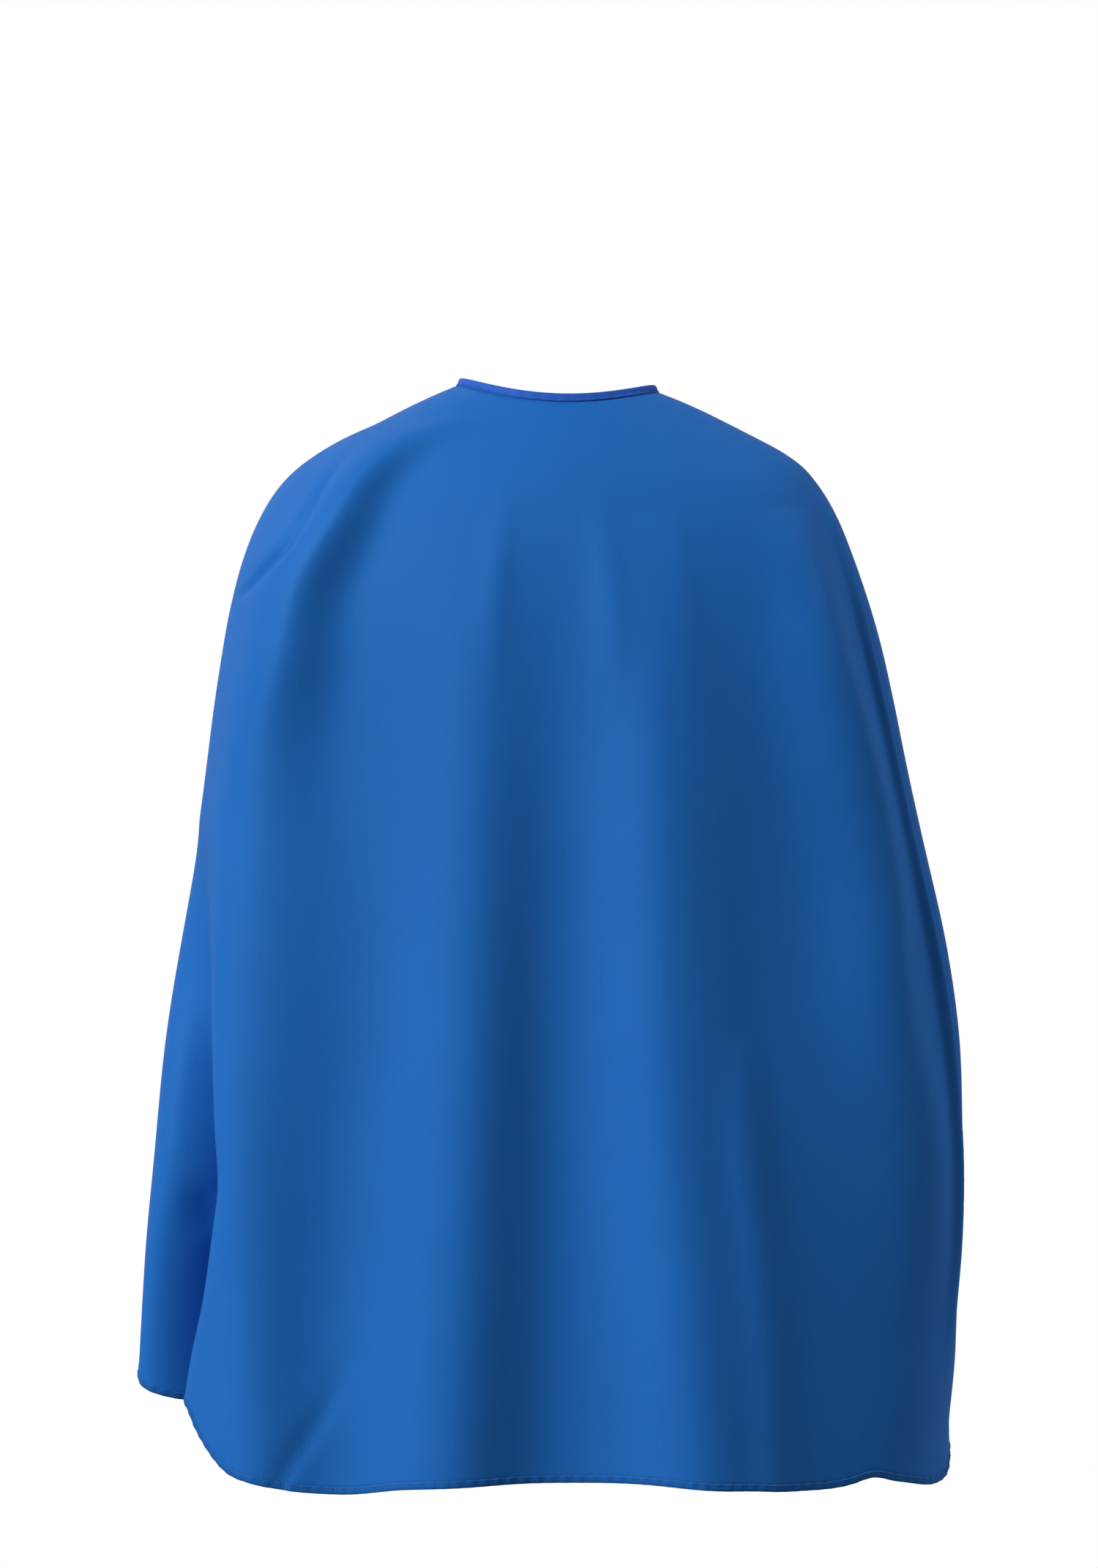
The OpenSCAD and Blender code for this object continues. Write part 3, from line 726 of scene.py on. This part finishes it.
def rectangle(t0, t1, s0, s1):
    """Angles and lengths round a rectangle, closed, finely spaced."""
    side_a, side_b = np.linspace(0, 1, LONG_SIDE_PLACES), np.linspace(0, 1, SHORT_SIDE_PLACES)
    t = np.concatenate([t0 + (t1 - t0) * side_a, t1 + 0 * side_b, t1 + (t0 - t1) * side_a, t0 + 0 * side_b])
    s = np.concatenate([s0 + 0 * side_a, s0 + (s1 - s0) * side_b, s1 + 0 * side_a, s1 + (s0 - s1) * side_b])
    return t, s


def metres_uv(t, s):
    return np.stack([t * PER_DEGREE, s], -1)


def tape(name, patch, low, high, material):
    """A flat tape over a patch of angles and lengths, between two heights over the cloth."""
    points, out = at_angle(*patch)
    return shell(name, points, out, low, high, metres_uv(*patch), [material])


def stitched(name, t, s, off, face, node, body):
    """A row of stitches at a height off over the middle of the cloth; face is 1 outside, -1 inside."""
    points, out = at_angle(t, s, off)
    thing = tubes(name, stitch_paths(points, out * face, SHORT_PITCH, SHORT_LENGTH), STITCH_RADII, [THREAD])
    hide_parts(node)
    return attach(thing, body)


strap_patch = rounded_patch(STRAP_SEWN, STRAP_END, STRAP_TOP, STRAP_BOTTOM, STRAP_CORNER, *STRAP_GRID)
under = strap_offset(strap_patch[0])
strap = tape("closure_strap_tape", strap_patch, under, under + STRAP_THICK, SATIN)
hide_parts("closure_strap", "strap_sewn_end")
# Two points along the strap's middle, a few degrees either side of its root
ROOT_BEND, ROOT_MIDDLE, ROOT_HEIGHT = 2.5, 0.013, 0.0045
root_line = at_angle([STRAP_ROOT - ROOT_BEND, STRAP_ROOT + ROOT_BEND], [ROOT_MIDDLE] * 2, ROOT_HEIGHT)[0]
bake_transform(strap)

box_t, box_s = rectangle(BOX_START, BOX_END, STRAP_TOP + PAD_INSET, STRAP_BOTTOM - PAD_INSET)
box_height = strap_offset(box_t) + STRAP_THICK
stitched("strap_root_stitches", box_t, box_s, box_height, 1, "strap_stitching", "yoke")

hook_patch = rounded_patch(PAD_START, PAD_END, STRAP_TOP + PAD_INSET, STRAP_BOTTOM - PAD_INSET,
                           PAD_CORNER, *PAD_GRID)
hook_pad = tape("hook_pad_tape", hook_patch, HOOK_TOP - PAD_BASE, HOOK_TOP, HOOK_TAPE)
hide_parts("hook_pad")
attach(hook_pad, "strap")

# Rows of hooks, each a stem that bends over to one side at its tip
HOOK_COLS, HOOK_ROWS, HOOK_STAGGER, HOOK_RADIUS = 26, 13, 0.3, 0.00009
HOOK_REACH = np.array([0, 0, 0.00006, 0.00022, 0.00036, 0.00034])
HOOK_DROP = np.array([0.0001, -0.0004, -0.0007, -0.0008, -0.00066, -0.00050])
hook_t, hook_s = np.meshgrid(
    np.linspace(PAD_START + PAD_STITCH_ANGLE, PAD_END - PAD_STITCH_ANGLE, HOOK_COLS),
    np.linspace(STRAP_TOP + PAD_STITCH_INSET, STRAP_BOTTOM - PAD_STITCH_INSET, HOOK_ROWS))
hook_t, hook_s = hook_t.ravel() + np.tile([0, HOOK_STAGGER], hook_t.size // 2), hook_s.ravel()
hook_root, hook_up = at_angle(hook_t, hook_s, HOOK_TOP - PAD_BASE)
sideways = unit(np.cross(hook_up, np.array([0, 0, 1.0])))
hook_paths = (hook_root[:, None] + hook_up[:, None] * HOOK_DROP[:, None]
              + sideways[:, None] * HOOK_REACH[:, None])
hooks = tubes("hook_field", hook_paths, np.full(len(HOOK_REACH), HOOK_RADIUS), [HOOKS], 5)
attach(hooks, "strap")

pad_t, pad_s = rectangle(PAD_START + PAD_STITCH_ANGLE, PAD_END - PAD_STITCH_ANGLE,
                         STRAP_TOP + PAD_STITCH_INSET, STRAP_BOTTOM - PAD_STITCH_INSET)
pad_height = strap_offset(pad_t) + STRAP_THICK
stitched("hook_pad_stitches", pad_t, pad_s, pad_height, 1, "hook_pad_stitching", "strap")

# The loop pad is this many degrees longer than the hook pad at each end
LOOP_PAD_EXTRA = 1
loop_patch = rounded_patch(PAD_START - LOOP_PAD_EXTRA, PAD_END + LOOP_PAD_EXTRA,
                           STRAP_TOP + PAD_INSET, STRAP_BOTTOM - PAD_INSET,
                           PAD_CORNER, *PAD_GRID)
loop_pad = tape("loop_pad_tape", loop_patch, LOOP_BOTTOM, LOOP_BOTTOM + PAD_BASE, LOOP_TAPE)
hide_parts("loop_pad")
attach(loop_pad, "yoke")

# A felt of small loops, each a bent thread that leans its own way
LOOP_COUNT, LOOP_POINTS, LOOP_RADIUS = 900, 7, 0.00005
LOOP_SMALL, LOOP_LARGE, LOOP_TALL = 0.00035, 0.0006, 1.25
LOOP_EXTRA, LOOP_INSET = 0.4, 0.0027
LOOP_TURN = (-20, 200)
loop_t = random.uniform(PAD_START - LOOP_EXTRA, PAD_END + LOOP_EXTRA, LOOP_COUNT)
loop_s = random.uniform(STRAP_TOP + LOOP_INSET, STRAP_BOTTOM - LOOP_INSET, LOOP_COUNT)
loop_root, loop_up = at_angle(loop_t, loop_s, LOOP_BOTTOM + PAD_BASE)
lean = unit(np.cross(loop_up, random.normal(size=(LOOP_COUNT, 3))))
bend = np.radians(np.linspace(*LOOP_TURN, LOOP_POINTS))
size = random.uniform(LOOP_SMALL, LOOP_LARGE, (LOOP_COUNT, 1, 1))
loop_paths = (loop_root[:, None] + lean[:, None] * np.cos(bend)[:, None] * size
              + loop_up[:, None] * (np.sin(bend)[:, None] * size * LOOP_TALL))
loops = tubes("loop_field", loop_paths, np.full(LOOP_POINTS, LOOP_RADIUS), [LOOP_TAPE], 4)
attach(loops, "yoke")
stitched("loop_pad_stitches", pad_t, pad_s, -CLOTH / 2, -1, "loop_pad_stitching", "yoke")

# ---------------------------------------------------------------- care label

LABEL_HALF_WIDTH, LABEL_LENGTH, LABEL_THICK = 0.016, 0.044, 0.0006
# How far the sides curl up towards the label's free end, and how far its middle sags
LABEL_CURL, LABEL_SAG = 0.0012, 0.0010
LABEL_LIFT = 0.0004
LABEL_COLS, LABEL_ROWS = 25, 31
TACK_DOWN, TACK_LIFT, TACK_INSET, TACK_POINTS = 0.0012, 0.0007, 0.001, 40
label_low, label_high = (np.array(corner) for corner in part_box("care_label"))
slope = math.atan2(label_high[2] - label_low[2], label_high[1] - label_low[1])
hang = np.array([0, math.cos(slope), -math.sin(slope)])
face = np.array([0, -math.sin(slope), -math.cos(slope)])
start = np.array([0, label_low[1], label_high[2]])
a, b = np.meshgrid(np.linspace(-1, 1, LABEL_COLS), np.linspace(0, 1, LABEL_ROWS))
curl = LABEL_CURL * a ** 2 * b - LABEL_SAG * b * (1 - b) * 4
label_points = start + hang * (b * LABEL_LENGTH)[..., None] + face * (curl + LABEL_LIFT)[..., None]
label_points[..., 0] = a * LABEL_HALF_WIDTH
label_out = np.broadcast_to(-face, label_points.shape)
label_uv = np.stack([a * LABEL_HALF_WIDTH, b * LABEL_LENGTH], -1)
label = shell("care_label_ribbon", label_points, label_out, -LABEL_THICK / 2, LABEL_THICK / 2, label_uv,
              [LABEL_RIBBON])
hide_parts("care_label")
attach(label, "label")

tack = np.linspace(-1, 1, TACK_POINTS)[:, None] * np.array([LABEL_HALF_WIDTH - TACK_INSET, 0, 0])
tack_paths = stitch_paths(start + hang * TACK_DOWN + face * TACK_LIFT + tack,
                          np.broadcast_to(face, (TACK_POINTS, 3)), SHORT_PITCH, SHORT_LENGTH)
label_stitches = tubes("label_stitches", tack_paths, STITCH_RADII, [THREAD])
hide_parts("label_stitching")
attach(label_stitches, "yoke")

# ---------------------------------------------------------------- floor, world and lights

FLOOR_Z, FLOOR_RADIUS = -1.42, 2.0
# The floor fades out between these distances from its middle
FADE_START, FADE_END = FLOOR_RADIUS * 0.45, FLOOR_RADIUS * 0.97
bpy.ops.mesh.primitive_circle_add(vertices=96, radius=FLOOR_RADIUS, fill_type="NGON",
                                  location=(0, 0, FLOOR_Z))
floor = bpy.context.object
floor.name = "floor"
# Pale grey where the cape stands, fading into the white of the world
n = Nodes("pale_floor")
place = n.add("ShaderNodeTexCoord").outputs["Object"]
distance = n.add("ShaderNodeVectorMath", {0: place}, operation="LENGTH").outputs["Value"]
fade_range = {"Value": distance, "From Min": FADE_START, "From Max": FADE_END}
fade = n.add("ShaderNodeMapRange", fade_range, interpolation_type="SMOOTHSTEP").outputs[0]
n.finish(Base_Color=(0.3, 0.3, 0.3, 1), Roughness=0.8, Specular_IOR_Level=0.1,
         Emission_Color=(1, 1, 1, 1), Emission_Strength=0.8)
white = n.add("ShaderNodeEmission", {"Color": (1, 1, 1, 1), "Strength": 1.0})
mixed = n.add("ShaderNodeMixShader", {0: fade, 1: n.shader.outputs[0], 2: white.outputs[0]})
n.tree.links.new(mixed.outputs[0], n.tree.nodes["Material Output"].inputs["Surface"])
floor.data.materials.append(n.material)
floor.visible_diffuse = False
floor.visible_glossy = False

world = bpy.data.worlds.new("studio")
bpy.context.scene.world = world
world.use_nodes = True
# White where the camera sees it, and a soft warm light where the cape does
tree = world.node_tree
tree.nodes.clear()


def background(colour, strength):
    node = tree.nodes.new("ShaderNodeBackground")
    node.inputs["Color"].default_value = colour
    node.inputs["Strength"].default_value = strength
    return node.outputs[0]


path = tree.nodes.new("ShaderNodeLightPath")
pick = tree.nodes.new("ShaderNodeMixShader")
output = tree.nodes.new("ShaderNodeOutputWorld")
tree.links.new(path.outputs["Is Camera Ray"], pick.inputs[0])
tree.links.new(background((1, 0.84, 0.74, 1), 0.19), pick.inputs[1])
tree.links.new(background((1, 1, 1, 1), 1), pick.inputs[2])
tree.links.new(pick.outputs[0], output.inputs["Surface"])


def sun(name, towards, strength, softness, colour, shine=True):
    """A far soft light in the direction towards, seen from the cape. Without shine it has no highlights."""
    data = bpy.data.lights.new(name, "SUN")
    data.energy = strength
    data.angle = math.radians(softness)
    data.color = colour
    thing = bpy.data.objects.new(name, data)
    thing.rotation_euler = (-Vector(towards)).to_track_quat("-Z", "Y").to_euler()
    thing.visible_glossy = shine
    bpy.context.collection.objects.link(thing)


sun("key", (0.68, 0.50, 0.53), 3.45, 25, (0.88, 0.98, 0.98))
sun("side_fill", (-0.88, -0.28, 0.38), 1.6, 40, (1, 0.95, 0.95), shine=False)
sun("front_fill", (0.35, -0.84, 0.42), 1.6, 45, (1, 1, 1), shine=False)

scene = bpy.context.scene
scene.view_settings.view_transform = "Standard"
scene.view_settings.look = "None"
